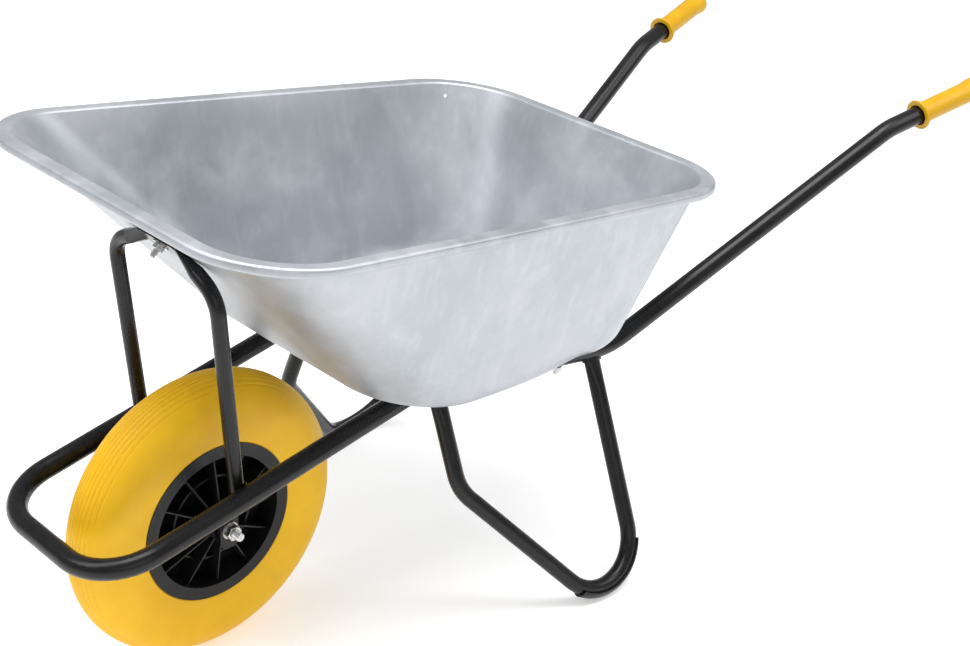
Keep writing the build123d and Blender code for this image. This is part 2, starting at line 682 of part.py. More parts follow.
def bearing_inner():
    race = ring(AXLE_R + RACE_T, AXLE_R + AXLE_FIT, -BEARING_W / 2, BEARING_W / 2)
    return at_bearing(race - groove())


def ball_places():
    step = 360 / BALL_COUNT
    return [Rot(0, i * step, 0) * Pos(BALL_PITCH_R, 0, 0) for i in range(BALL_COUNT)]


def bearing_balls():
    return [at_bearing(place * Sphere(BALL_R)) for place in ball_places()]


def bearing_cage():
    cage = ring(BALL_PITCH_R + CAGE_T / 2, BALL_PITCH_R - CAGE_T / 2, -CAGE_W / 2, CAGE_W / 2)
    for place in ball_places():
        cage -= place * Sphere(BALL_R + BALL_GAP / 4)
    return at_bearing(cage)


# ---- axle and what is threaded on it ----

BRACE_END_OUTSIDE = BRACE_END_Y + BRACE_FLAT_HALF_T


def facing_left(y, shape):
    """Puts a shape that stands on the XY plane onto the axle, standing on y and facing left."""
    return on_axle(Pos(0, y, 0) * (Rot(-90, 0, 0) * shape))


def axle_bolt():
    head_side = -(BRACE_END_OUTSIDE + AXLE_WASHER_T)
    length = 2 * (BRACE_END_OUTSIDE + AXLE_WASHER_T) + AXLE_NUT_H + AXLE_END
    shank = standing_cylinder(AXLE_R, length)
    shank = chamfer(shank.edges().group_by(Axis.Z)[-1], AXLE_CHAMFER)
    head = Rot(180, 0, 0) * hex_bar(AXLE_NUT_AF, AXLE_HEAD_H, 0)
    return facing_left(head_side, shank + head)


def axle_nut():
    return facing_left(BRACE_END_OUTSIDE + AXLE_WASHER_T, hex_bar(AXLE_NUT_AF, AXLE_NUT_H, AXLE_R))


def axle_washer():
    return facing_left(BRACE_END_OUTSIDE, washer(AXLE_WASHER_R, AXLE_R + AXLE_FIT, AXLE_WASHER_T))


def end_spacer():
    """The short tube between the left bearing's inner ring and the brace's end."""
    low = HUB_HALF_L - BEARING_RECESS
    return on_axle(ring(SPACER_R, AXLE_R + AXLE_FIT, low, BRACE_END_Y - BRACE_FLAT_HALF_T))


def hub_spacer():
    """The long tube between the two inner rings, inside the hub."""
    half = HUB_HALF_L - BEARING_RECESS - BEARING_W
    return on_axle(ring(SPACER_R, AXLE_R + AXLE_FIT, -half, half))


# ---- bolts that hold the pan ----

def small_bolt(grip_length, free_end):
    """A domed bolt whose head stands on the XY plane and whose shank points down."""
    head = standing_cylinder(BOLT_HEAD_R, BOLT_HEAD_H)
    head = fillet(head.edges().group_by(Axis.Z)[-1], BOLT_HEAD_ROUND)
    length = grip_length + SMALL_NUT_H + free_end
    return head + Cylinder(BOLT_R, length, align=(Align.CENTER, Align.CENTER, Align.MAX))


def small_washer():
    return washer(SMALL_WASHER_R, BOLT_R + BOLT_FIT, SMALL_WASHER_T)


def pan_fasteners():
    """The bolts, washers and nuts through the pan's floor and the frame tube."""
    bolts = []
    washers = []
    nuts = []
    under_head = PAN_T + SMALL_WASHER_T
    bolt = small_bolt(under_head + 2 * TUBE_R, SMALL_BOLT_END)
    nut = hex_bar(SMALL_NUT_AF, SMALL_NUT_H, BOLT_R)
    for plane in pan_bolt_planes():
        bolts.append(plane * Pos(0, 0, under_head) * bolt)
        washers.append(plane * Pos(0, 0, PAN_T) * small_washer())
        nuts.append(plane * Pos(0, 0, -2 * TUBE_R - SMALL_NUT_H) * nut)
    return bolts, washers, nuts


def brace_fasteners():
    """The bolt, washer and nut through the pan's front wall and the brace."""
    plane = brace_bolt_plane()
    washer_at = 2 * BRACE_FLAT_HALF_T + SMALL_WASHER_T
    bolt = plane * Pos(0, 0, PAN_T) * small_bolt(PAN_T + washer_at, BRACE_BOLT_END)
    under = plane * Pos(0, 0, -washer_at) * small_washer()
    nut = plane * Pos(0, 0, -washer_at - SMALL_NUT_H) * hex_bar(SMALL_NUT_AF, SMALL_NUT_H, BOLT_R)
    return bolt, under, nut


def frame_tube():
    body = tube(frame_line(), TUBE_R, TUBE_WALL)
    for plane in pan_bolt_planes():
        body -= plane * Cylinder(BOLT_R + BOLT_FIT, 2 * THROUGH * TUBE_R)
    return body


# ---- saving: the origin goes under the middle of the bounding box ----

FRONT_END = FRONT_CORNER[0] + TUBE_R


def save(name, shapes, shift):
    pieces = shapes if isinstance(shapes, list) else [shapes]
    solids = [solid.moved(Location((shift, 0, 0))) for piece in pieces for solid in piece.solids()]
    group = solids[0] if len(solids) == 1 else Compound(solids)
    export_step(group, os.path.join("parts", name + ".step"))


def build_all():
    """Every piece by its node's name, before the final move."""
    rail = rail_bar()
    nodes = {"frame_tube": frame_tube(), "pan": pan()}
    leg = left_leg(rail)
    foot = left_foot_plate()
    brace_shape = brace()
    beads = top_welds(rail)
    brace_bead = brace_weld(rail, brace_shape)
    pairs = {
        "leg": leg,
        "foot_plate": foot,
        "grip": left_grip(),
        "axle_spacer": end_spacer(),
        "bearing_outer_ring": bearing_outer(),
        "bearing_inner_ring": bearing_inner(),
        "bearing_balls": bearing_balls(),
        "bearing_cage": bearing_cage(),
    }
    for name, shape in pairs.items():
        nodes["left_" + name] = shape
        nodes["right_" + name] = mirrored_all(shape)
    nodes["leg_welds"] = beads + mirrored_all(beads)
    nodes["front_brace"] = brace_shape
    nodes["brace_welds"] = [brace_bead, mirrored(brace_bead)]
    nodes["tyre"] = tyre()
    nodes["rim"] = rim()
    nodes["hub_spacer"] = hub_spacer()
    nodes["axle_bolt"] = axle_bolt()
    nodes["axle_nut"] = axle_nut()
    nodes["axle_washers"] = [axle_washer(), mirrored(axle_washer())]
    nodes["pan_bolts"], nodes["pan_washers"], nodes["pan_nuts"] = pan_fasteners()
    nodes["brace_bolt"], nodes["brace_washer"], nodes["brace_nut"] = brace_fasteners()
    return nodes


nodes = build_all()
rear_end = nodes["left_grip"].bounding_box().min.X
shift = -(FRONT_END + rear_end) / 2
os.makedirs("parts", exist_ok=True)
for name, shapes in nodes.items():
    save(name, shapes, shift)
print(len(nodes), "nodes; the axle is at x =", round(shift, 2))
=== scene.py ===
import json
import math

import bmesh
import bpy
from mathutils import Matrix, Vector


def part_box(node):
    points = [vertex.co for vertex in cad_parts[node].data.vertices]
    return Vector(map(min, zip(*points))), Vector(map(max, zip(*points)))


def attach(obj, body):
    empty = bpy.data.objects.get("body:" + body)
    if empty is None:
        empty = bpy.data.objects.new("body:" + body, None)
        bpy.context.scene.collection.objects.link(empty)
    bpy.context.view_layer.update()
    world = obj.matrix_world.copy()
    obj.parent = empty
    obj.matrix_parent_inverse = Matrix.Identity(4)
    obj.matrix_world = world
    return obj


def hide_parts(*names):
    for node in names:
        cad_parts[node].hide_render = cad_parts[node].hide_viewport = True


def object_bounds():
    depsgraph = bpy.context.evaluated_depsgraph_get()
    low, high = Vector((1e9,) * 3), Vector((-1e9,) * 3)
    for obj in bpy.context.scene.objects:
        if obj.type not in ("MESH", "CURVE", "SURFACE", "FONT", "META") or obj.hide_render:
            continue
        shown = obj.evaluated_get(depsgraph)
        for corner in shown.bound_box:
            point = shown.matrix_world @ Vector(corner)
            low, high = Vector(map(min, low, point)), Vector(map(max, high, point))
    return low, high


# Wheelbarrow. Metres, in the row frame: X forward, Y to the left, Z up, the floor at z = 0.

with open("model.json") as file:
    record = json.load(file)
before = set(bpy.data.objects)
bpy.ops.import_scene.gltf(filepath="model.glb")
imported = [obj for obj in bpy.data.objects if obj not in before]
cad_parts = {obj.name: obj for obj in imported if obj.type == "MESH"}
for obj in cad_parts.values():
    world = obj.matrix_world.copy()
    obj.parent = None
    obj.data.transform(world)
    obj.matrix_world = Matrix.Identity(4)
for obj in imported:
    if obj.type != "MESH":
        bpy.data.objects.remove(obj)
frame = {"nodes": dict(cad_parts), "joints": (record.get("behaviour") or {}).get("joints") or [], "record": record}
CAD_LOW, CAD_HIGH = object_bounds()
NODES = frame["nodes"]
MM = 0.001

# ---- camera and stage ----

CAMERA_AZIMUTH = 137.566
CAMERA_ELEVATION = 27.253
CAMERA_ROLL = 1.506
CAMERA_DISTANCE = 2.492
CAMERA_AIM = (0.144, 0.0, 0.012)   # from the middle of the object's box
FOCAL_LENGTH = 66.1
SENSOR_WIDTH = 36.0
VIEW_SHIFT = (0.0698, -0.0017)
FLOOR_SIZE = 30.0
FLOOR_GLOW = 0.38                  # keeps the far floor as pale as the near floor
WORLD_LIGHT = 0.47


def looking_from(azimuth, elevation):
    """The unit vector towards a viewer. Azimuth 0 looks along +Y, 90 along -X."""
    a = math.radians(azimuth)
    e = math.radians(elevation)
    return Vector((math.sin(a) * math.cos(e), -math.cos(a) * math.cos(e), math.sin(e)))


def make_camera():
    """The camera at the photograph's viewing angle."""
    back = looking_from(CAMERA_AZIMUTH, CAMERA_ELEVATION)
    level = Vector((0, 0, 1)).cross(back).normalized()
    upright = back.cross(level)
    roll = math.radians(CAMERA_ROLL)
    right = level * math.cos(roll) + upright * math.sin(roll)
    up = upright * math.cos(roll) - level * math.sin(roll)
    aim = (CAD_LOW + CAD_HIGH) / 2 + Vector(CAMERA_AIM)
    camera = bpy.data.objects.new("camera", bpy.data.cameras.new("camera"))
    camera.data.lens = FOCAL_LENGTH
    camera.data.sensor_width = SENSOR_WIDTH
    camera.data.shift_x, camera.data.shift_y = VIEW_SHIFT
    turn = Matrix((right, up, back)).transposed().to_4x4()
    camera.matrix_world = Matrix.Translation(aim + back * CAMERA_DISTANCE) @ turn
    bpy.context.scene.collection.objects.link(camera)
    bpy.context.scene.camera = camera


def area_light(name, azimuth, elevation, distance, size, power):
    """A soft rectangular light that looks at the middle of the object."""
    data = bpy.data.lights.new(name, "AREA")
    data.shape = "RECTANGLE"
    data.size, data.size_y = size
    data.energy = power
    lamp = bpy.data.objects.new(name, data)
    back = looking_from(azimuth, elevation)
    lamp.rotation_mode = "QUATERNION"
    lamp.rotation_quaternion = back.to_track_quat("Z", "Y")
    lamp.location = (CAD_LOW + CAD_HIGH) / 2 + back * distance
    bpy.context.scene.collection.objects.link(lamp)


def make_lights():
    """Four soft lights and an even white surround."""
    area_light("overhead", 150, 84, 2.6, (2.4, 1.6), 86)
    area_light("left_key", 70, 48, 3.0, (1.4, 1.8), 34)
    area_light("front_fill", 150, 20, 3.4, (2.2, 1.4), 9)
    area_light("right_side", 225, 42, 3.0, (1.2, 1.8), 22)
    world = bpy.data.worlds.new("studio")
    world.use_nodes = True
    background = world.node_tree.nodes["Background"]
    background.inputs["Color"].default_value = (1.0, 1.0, 1.0, 1.0)
    background.inputs["Strength"].default_value = WORLD_LIGHT
    bpy.context.scene.world = world
    bpy.context.scene.view_settings.view_transform = "Standard"


def make_floor():
    """A plain pale floor."""
    half = FLOOR_SIZE / 2
    mesh = bpy.data.meshes.new("floor")
    corners = [(-half, -half, 0), (half, -half, 0), (half, half, 0), (-half, half, 0)]
    mesh.from_pydata(corners, [], [(0, 1, 2, 3)])
    floor = bpy.data.objects.new("floor", mesh)
    bpy.context.scene.collection.objects.link(floor)
    paint = Finish("floor_paper")
    paint.set(("Base Color", (0.9, 0.9, 0.9, 1)), ("Roughness", 0.75))
    paint.set(("Emission Color", (1, 1, 1, 1)), ("Emission Strength", FLOOR_GLOW))
    floor.data.materials.append(paint.material)


# ---- materials ----

class Finish:
    """A material and short ways to add nodes to it."""

    def __init__(self, name):
        self.material = bpy.data.materials.new(name)
        self.material.use_nodes = True
        self.tree = self.material.node_tree
        self.shader = self.tree.nodes["Principled BSDF"]
        self.place = self.tree.nodes.new("ShaderNodeTexCoord").outputs["Object"]

    def set(self, *pairs):
        """Sets sockets of the shader itself."""
        for name, value in pairs:
            self.shader.inputs[name].default_value = value

    def add(self, kind, settings=(), inputs=()):
        made = self.tree.nodes.new(kind)
        for name, value in settings:
            setattr(made, name, value)
        for name, value in inputs:
            if isinstance(value, bpy.types.NodeSocket):
                self.tree.links.new(value, made.inputs[name])
            else:
                made.inputs[name].default_value = value
        return made

    def link(self, output, name):
        """Drives one socket of the shader."""
        self.tree.links.new(output, self.shader.inputs[name])

    def stretched(self, scale):
        """The object's coordinates, stretched by a factor along each axis."""
        mapping = self.add("ShaderNodeMapping", inputs=[("Vector", self.place), ("Scale", scale)])
        return mapping.outputs["Vector"]

    def noise(self, scale, detail=3.0, rough=0.55, place=None, distortion=0.0):
        pairs = [("Vector", place or self.place), ("Scale", scale), ("Detail", detail)]
        pairs += [("Roughness", rough), ("Distortion", distortion)]
        return self.add("ShaderNodeTexNoise", inputs=pairs).outputs["Fac"]

    def cells(self, scale):
        return self.add("ShaderNodeTexVoronoi", inputs=[("Vector", self.place), ("Scale", scale)])

    def remap(self, value, low, high, to_low=0.0, to_high=1.0):
        pairs = [("Value", value), ("From Min", low), ("From Max", high)]
        pairs += [("To Min", to_low), ("To Max", to_high)]
        return self.add("ShaderNodeMapRange", inputs=pairs).outputs["Result"]

    def maths(self, operation, first, second):
        made = self.add("ShaderNodeMath", [("operation", operation)], [(0, first), (1, second)])
        return made.outputs["Value"]

    def mix(self, factor, first, second):
        inputs = [("Factor", factor), ("A", first), ("B", second)]
        return self.add("ShaderNodeMix", [("data_type", "RGBA")], inputs).outputs["Result"]

    def bump(self, height, strength, distance, normal=None):
        pairs = [("Height", height), ("Strength", strength), ("Distance", distance)]
        if normal is not None:
            pairs.append(("Normal", normal))
        return self.add("ShaderNodeBump", inputs=pairs).outputs["Normal"]


def colour(red, green, blue):
    """A linear colour with its alpha."""
    return (red, green, blue, 1.0)


def black_paint():
    """Glossy powder coat: a fine orange-peel skin, faint dust and a little uneven gloss."""
    f = Finish("black_paint")
    f.set(("Specular IOR Level", 0.26), ("Coat Weight", 0.06), ("Coat Roughness", 0.12))
    dust = f.remap(f.noise(1500, 2), 0.66, 0.74)
    clouds = f.remap(f.noise(14, 3), 0.35, 0.7)
    base = f.mix(clouds, colour(0.004, 0.004, 0.0045), colour(0.009, 0.009, 0.010))
    f.link(f.mix(dust, base, colour(0.035, 0.035, 0.038)), "Base Color")
    f.link(f.remap(f.noise(60, 4), 0.3, 0.7, 0.22, 0.34), "Roughness")
    peel = f.bump(f.noise(420, 2), 0.12, 0.4 * MM)
    f.link(f.bump(f.noise(1400, 1), 0.1, 0.1 * MM, peel), "Normal")
    return f.material


def galvanised_sheet():
    """Hot-dipped zinc: large soft clouds, blotches of duller grey, faint spangle and thin runs."""
    f = Finish("galvanised_sheet")
    f.set(("Metallic", 0.7), ("Specular IOR Level", 0.5))
    clouds = f.noise(4.5, 4, 0.55, distortion=0.5)
    blotches = f.noise(13.0, 5, 0.62, distortion=0.3)
    runs = f.noise(1.0, 4, place=f.stretched((60, 60, 7)))
    spangle = f.cells(95).outputs["Color"]
    dull = colour(0.36, 0.385, 0.41)
    middle = colour(0.47, 0.49, 0.52)
    pale = colour(0.58, 0.60, 0.63)
    base = f.mix(f.remap(clouds, 0.35, 0.65), dull, middle)
    base = f.mix(f.remap(blotches, 0.50, 0.64, 0, 0.3), base, pale)
    base = f.mix(f.remap(runs, 0.5, 0.72, 0, 0.25), base, pale)
    base = f.mix(f.remap(spangle, 0, 1, 0, 0.09), base, colour(0.25, 0.27, 0.30))
    f.link(base, "Base Color")
    gloss = f.remap(clouds, 0.3, 0.7, 0.36, 0.50)
    gloss = f.maths("ADD", gloss, f.remap(blotches, 0.3, 0.7, -0.05, 0.07))
    f.link(gloss, "Roughness")
    ripple = f.bump(f.noise(7, 2), 0.22, 3 * MM)
    grain = f.bump(f.noise(1.0, 3, place=f.stretched((220, 220, 40))), 0.06, 0.2 * MM, ripple)
    f.link(f.bump(spangle, 0.03, 0.1 * MM, grain), "Normal")
    return f.material


def zinc_plate():
    """Bright zinc on fasteners, a little yellow and blue in places, grey where it was handled."""
    f = Finish("zinc_plate")
    f.set(("Metallic", 1.0))
    tint = f.remap(f.noise(180, 3), 0.35, 0.65)
    dull = f.remap(f.noise(420, 4), 0.5, 0.7, 0, 0.7)
    base = f.mix(tint, colour(0.50, 0.49, 0.45), colour(0.56, 0.57, 0.60))
    f.link(f.mix(dull, base, colour(0.30, 0.30, 0.30)), "Base Color")
    f.link(f.remap(f.noise(500, 3), 0.3, 0.7, 0.22, 0.42), "Roughness")
    f.link(f.bump(f.noise(1600, 2), 0.08, 0.1 * MM), "Normal")
    return f.material


def bearing_steel():
    """Polished steel, hidden in the hub."""
    f = Finish("bearing_steel")
    f.set(("Metallic", 1.0))
    f.link(f.mix(f.noise(300, 3), colour(0.5, 0.5, 0.5), colour(0.62, 0.62, 0.63)), "Base Color")
    f.link(f.remap(f.noise(700, 3), 0.3, 0.7, 0.12, 0.24), "Roughness")
    f.link(f.bump(f.noise(2200, 2), 0.04, 0.05 * MM), "Normal")
    return f.material


def yellow_foam():
    """Moulded foam skin: matt, faintly mottled, with tiny pits."""
    f = Finish("yellow_foam")
    f.set(("Specular IOR Level", 0.3), ("Coat Weight", 0.03), ("Coat Roughness", 0.3))
    blotches = f.remap(f.noise(16, 4), 0.3, 0.7)
    base = f.mix(blotches, colour(0.76, 0.415, 0.003), colour(0.84, 0.485, 0.006))
    scuffs = f.remap(f.noise(140, 4, 0.7), 0.60, 0.78, 0, 0.35)
    f.link(f.mix(scuffs, base, colour(0.62, 0.33, 0.02)), "Base Color")
    f.link(f.remap(f.noise(40, 4), 0.3, 0.7, 0.42, 0.58), "Roughness")
    pits = f.remap(f.cells(700).outputs["Distance"], 0.0, 0.5)
    skin = f.bump(f.noise(220, 4), 0.18, 0.5 * MM)
    f.link(f.bump(pits, 0.05, 0.15 * MM, skin), "Normal")
    return f.material


def yellow_plastic():
    """The grips' soft plastic: smooth, with a faint satin skin."""
    f = Finish("yellow_plastic")
    f.set(("Specular IOR Level", 0.3), ("Coat Weight", 0.03), ("Coat Roughness", 0.3))
    blotches = f.remap(f.noise(30, 3), 0.3, 0.7)
    base = f.mix(blotches, colour(0.48, 0.26, 0.003), colour(0.53, 0.30, 0.005))
    f.link(base, "Base Color")
    f.link(f.remap(f.noise(90, 3), 0.3, 0.7, 0.30, 0.42), "Roughness")
    f.link(f.bump(f.noise(900, 3), 0.06, 0.2 * MM), "Normal")
    return f.material


def black_plastic():
    """The rim's moulded plastic: dark satin, with a fine grain."""
    f = Finish("black_plastic")
    f.set(("Specular IOR Level", 0.28))
    blotches = f.remap(f.noise(35, 3), 0.3, 0.7)
    base = f.mix(blotches, colour(0.005, 0.005, 0.0055), colour(0.010, 0.010, 0.011))
    f.link(base, "Base Color")
    f.link(f.remap(f.noise(120, 3), 0.3, 0.7, 0.34, 0.48), "Roughness")
    f.link(f.bump(f.noise(1300, 2), 0.10, 0.15 * MM), "Normal")
    return f.material


MAKERS = (
    black_paint,
    galvanised_sheet,
    zinc_plate,
    bearing_steel,
    yellow_foam,
    yellow_plastic,
    black_plastic,
)
FINISHES = {maker.__name__: maker() for maker in MAKERS}


def paint_nodes():
    """Gives each CAD node the finish of its material slot."""
    for part in frame["record"]["subparts"]:
        node = NODES[part["node"]]
        for slot in node.material_slots:
            slot.link = "OBJECT"
            slot.material = FINISHES[part["material_slot"]]
        for face in node.data.polygons:
            face.use_smooth = True


# ---- sizes of the modelled pieces ----

AXLE = Vector(frame["joints"][0]["pos_m"])
TYRE_LOW, TYRE_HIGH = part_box("tyre")
RIM_LOW, RIM_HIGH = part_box("rim")

SHEET = 1.5 * MM
FLOOR_SLOPE = math.atan2(47.5, 337.0)          # the fall and run of the tube under the pan
PAN_BEND = Vector((-271.5, 0, 146.5)) * MM     # from the axle to the bend of the tube under the pan
TUBE_R = 13.75 * MM
PAN_FLOOR = {"front": 121 * MM, "rear": -348 * MM, "front_half": 226 * MM, "rear_half": 188 * MM}
PAN_RIM = {"front": 452 * MM, "rear": -419 * MM, "front_half": 313.5 * MM, "rear_half": 280 * MM}
RIM_FRONT_HEIGHT = 270 * MM
RIM_REAR_HEIGHT = 267.5 * MM
FLOOR_CORNER_R = 98 * MM
FLOOR_EDGE_R = 50.5 * MM
RIM_CORNER_R = 125 * MM
RIM_BULGE = 4 * MM             # how far each side bows out at its middle
RIM_W = 20.5 * MM
RIM_SET_IN = 0.1 * MM          # keeps the rolled rim inside the CAD pan
RIM_LIP = 12.5 * MM
RIM_ROUND = 4.5 * MM
MOUTH_R = 5 * MM               # of the soft bend from a wall to the flange
HANG_HOLE = Vector((-357.5, -280.0, -20.0)) * MM   # in the rim's plane, from its middle
HANG_HOLE_R = 2.5 * MM
PAN_ARC_STEPS = 16
PAN_SIDE_STEPS = 14
PAN_FOOT_STEPS = 10
PAN_MOUTH_STEPS = 7
PAN_ROLL_STEPS = 7
FLOOR_SHARES = (0.04, 0.3, 0.55, 0.8)          # of the way from the floor's middle to its edge
WALL_SHARES = (0.2, 0.4, 0.6, 0.8)             # of the way up the wall
HOLE_SEGMENTS = 24
PAN_CRISP = 50                 # degrees: sharper edges than this stay crisp


# ---- mesh helpers ----

def placed(name, mesh, body, slot_name, nodes):
    """Makes a piece from a mesh that stands for CAD nodes."""
    for face in mesh.polygons:
        face.use_smooth = True
    piece = bpy.data.objects.new(name, mesh)
    bpy.context.scene.collection.objects.link(piece)
    mesh.materials.clear()
    mesh.materials.append(FINISHES[slot_name])
    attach(piece, body)
    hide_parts(*nodes)
    return piece


def ring_mesh(name, rings, closed_ends=False, joined=False):
    """A mesh through closed rings of points, each with as many points as the others."""
    count = len(rings[0])
    points = [tuple(p) for ring in rings for p in ring]
    faces = []
    total = len(rings)
    for i in range(total if joined else total - 1):
        low = i * count
        high = ((i + 1) % total) * count
        for k in range(count):
            after = (k + 1) % count
            faces.append((low + k, low + after, high + after, high + k))
    if closed_ends:
        faces.append(tuple(range(count - 1, -1, -1)))
        faces.append(tuple(range((total - 1) * count, total * count)))
    mesh = bpy.data.meshes.new(name)
    mesh.from_pydata(points, [], faces)
    shape = bmesh.new()
    shape.from_mesh(mesh)
    bmesh.ops.recalc_face_normals(shape, faces=shape.faces)
    shape.to_mesh(mesh)
    shape.free()
    return mesh


def smooth_by_angle(piece, degrees):
    """Keeps edges sharper than an angle crisp."""
    mesh = piece.data
    shape = bmesh.new()
    shape.from_mesh(mesh)
    limit = math.radians(degrees)
    for edge in shape.edges:
        if len(edge.link_faces) == 2 and edge.calc_face_angle() > limit:
            edge.smooth = False
    shape.to_mesh(mesh)
    shape.free()


# ---- pan ----

def rounded_corners(corners, radius, arc_steps, side_steps):
    """A polygon's outline with rounded corners, in order, with points along its sides too."""
    arcs = []
    for i, corner in enumerate(corners):
        back = (corners[i - 1] - corner).normalized()
        ahead = (corners[(i + 1) % len(corners)] - corner).normalized()
        half = back.angle(ahead) / 2
        inward = (back + ahead).normalized()
        centre = corner + inward * (radius / math.sin(half))
        turn = math.pi - 2 * half
        arc = []
        for k in range(arc_steps + 1):
            a = turn * (k / arc_steps - 0.5)
            across = (ahead - back).normalized()
            arc.append(centre - inward * (radius * math.cos(a)) + across * (radius * math.sin(a)))
        arcs.append(arc)
    points = []
    for i, arc in enumerate(arcs):
        points += arc
        start, end = arc[-1], arcs[(i + 1) % len(arcs)][0]
        points += [start.lerp(end, k / side_steps) for k in range(1, side_steps)]
    return points


def trapezoid(size, inset, radius):
    """Points round the pan at one level: a trapezoid with rounded corners and bowed sides."""
    front, rear = size["front"] - inset, size["rear"] + inset
    front_half, rear_half = size["front_half"] - inset, size["rear_half"] - inset
    corners = [Vector((front, front_half)), Vector((rear, rear_half))]
    corners += [Vector((rear, -rear_half)), Vector((front, -front_half))]
    points = []
    for p in rounded_corners(corners, radius, PAN_ARC_STEPS, PAN_SIDE_STEPS):
        along = (2 * p.x - front - rear) / (front - rear)
        across = p.y / (front_half + rear_half) * 2
        points.append(Vector((p.x, p.y + RIM_BULGE * across * (1 - along * along), 0)))
    return points


def pan_place():
    """From the pan's own frame, X forward along its floor, to the row's frame."""
    turn = Matrix.Rotation(-FLOOR_SLOPE, 4, "Y")
    return Matrix.Translation(AXLE + PAN_BEND) @ turn @ Matrix.Translation((0, 0, TUBE_R))


def rim_place():
    """From the rim's plane, about its middle, to the pan's own frame."""
    length = PAN_RIM["front"] - PAN_RIM["rear"]
    slope = math.atan2(RIM_FRONT_HEIGHT - RIM_REAR_HEIGHT, length)
    middle_x = (PAN_RIM["front"] + PAN_RIM["rear"]) / 2
    middle_z = (RIM_FRONT_HEIGHT + RIM_REAR_HEIGHT) / 2
    return Matrix.Translation((middle_x, 0, middle_z)) @ Matrix.Rotation(-slope, 4, "Y")


def bend(corner, way_in, way_out, radius, steps):
    """Points round a bend from one direction to another, tangent to both."""
    turn = way_in.angle(way_out)
    reach = radius * math.tan(turn / 2)
    start = corner - way_in * reach
    side = (way_out - way_in * way_out.dot(way_in)).normalized()
    points = []
    for k in range(steps + 1):
        a = turn * k / steps
        points.append(start + way_in * (radius * math.sin(a)) + side * (radius * (1 - math.cos(a))))
    return points


def pan_section(middle, low, mouth, edge, up):
    """The sheet's upper skin from the floor's middle out to the rim's rolled lip."""
    out = (edge - mouth).normalized()
    run = Vector((mouth.x - low.x, mouth.y - low.y, 0)).normalized()
    wall = (mouth - low).normalized()
    foot = bend(low, run, wall, FLOOR_EDGE_R, PAN_FOOT_STEPS)
    section = [middle.lerp(foot[0], share) for share in FLOOR_SHARES]
    section += foot
    top = bend(mouth, wall, out, MOUTH_R, PAN_MOUTH_STEPS)
    section += [foot[-1].lerp(top[0], share) for share in WALL_SHARES]
    section += top
    upper = edge - (out + up) * RIM_ROUND
    lower = edge - out * RIM_ROUND - up * (RIM_LIP - RIM_ROUND)
    section.append(top[-1].lerp(upper + up * RIM_ROUND, 0.5))
    for centre, first in ((upper, 0), (lower, 90)):
        for k in range(PAN_ROLL_STEPS + 1):
            a = math.radians(first + 90 * k / PAN_ROLL_STEPS)
            section.append(centre + out * (RIM_ROUND * math.sin(a)) + up * (RIM_ROUND * math.cos(a)))
    return section


def pan_rings(in_pan, in_rim):
    """Rings of the sheet's upper skin, from the floor's middle out to the rim's lip."""
    rim_size = dict(PAN_RIM)
    rim_size["front"] = (PAN_RIM["front"] - PAN_RIM["rear"]) / 2
    rim_size["rear"] = -rim_size["front"]
    floor = trapezoid(PAN_FLOOR, 0, FLOOR_CORNER_R)
    mouth = trapezoid(rim_size, RIM_W, RIM_CORNER_R - RIM_W)
    edge = trapezoid(rim_size, RIM_SET_IN, RIM_CORNER_R)
    up = (in_rim.to_3x3() @ Vector((0, 0, 1))).normalized()
    middle = Vector(((PAN_FLOOR["front"] + PAN_FLOOR["rear"]) / 2, 0, SHEET))
    sections = []
    for low, inner, outer in zip(floor, mouth, edge):
        low = Vector((low.x, low.y, SHEET))
        sections.append(pan_section(middle, low, in_rim @ inner, in_rim @ outer, up))
    return [[in_pan @ point for point in ring] for ring in zip(*sections)]


def pan_skin(rings):
    """The pan's upper skin with its floor closed, facing up."""
    mesh = ring_mesh("pan_sheet", rings)
    shape = bmesh.new()
    shape.from_mesh(mesh)
    shape.verts.ensure_lookup_table()
    shape.faces.new([shape.verts[i] for i in range(len(rings[0]))])
    bmesh.ops.recalc_face_normals(shape, faces=shape.faces)
    shape.faces.ensure_lookup_table()
    if shape.faces[-1].normal.z < 0:
        bmesh.ops.reverse_faces(shape, faces=shape.faces)
    shape.to_mesh(mesh)
    shape.free()
    return mesh


def hang_hole_drill():
    """A round cutter along Y for the hanging hole in the right wall."""
    profile = [(HANG_HOLE_R, -RIM_W), (HANG_HOLE_R, 2 * RIM_W)]
    return bpy.data.objects.new("hole", turned_mesh("hole", profile, HOLE_SEGMENTS))


def sheet_pan():
    """The galvanised pan: one sheet of even thickness with a hanging hole."""
    in_pan = pan_place()
    in_rim = rim_place()
    pan = bpy.data.objects.new("pan_raw", pan_skin(pan_rings(in_pan, in_rim)))
    bpy.context.scene.collection.objects.link(pan)
    thick = pan.modifiers.new("thickness", "SOLIDIFY")
    thick.thickness = SHEET
    thick.offset = -1
    hole = hang_hole_drill()
    hole.matrix_world = in_pan @ in_rim @ Matrix.Translation(HANG_HOLE)
    bpy.context.scene.collection.objects.link(hole)
    cut = pan.modifiers.new("hole", "BOOLEAN")
    cut.object = hole
    cut.solver = "EXACT"
    bpy.context.view_layer.update()
    seen = pan.evaluated_get(bpy.context.evaluated_depsgraph_get())
    final = bpy.data.meshes.new_from_object(seen)
    bpy.data.objects.remove(pan)
    bpy.data.objects.remove(hole)
    piece = placed("pan_sheet", final, "frame", "galvanised_sheet", ["pan"])
    smooth_by_angle(piece, PAN_CRISP)


# ---- turned pieces ----

def turned_rings(profile, segments):
    """Rings about the Y axis through a profile given as (radius, y)."""
    rings = []
    for radius, y in profile:
        ring = []
        for k in range(segments):
            a = 2 * math.pi * k / segments
            ring.append(Vector((radius * math.cos(a), y, radius * math.sin(a))))
        rings.append(ring)
    return rings


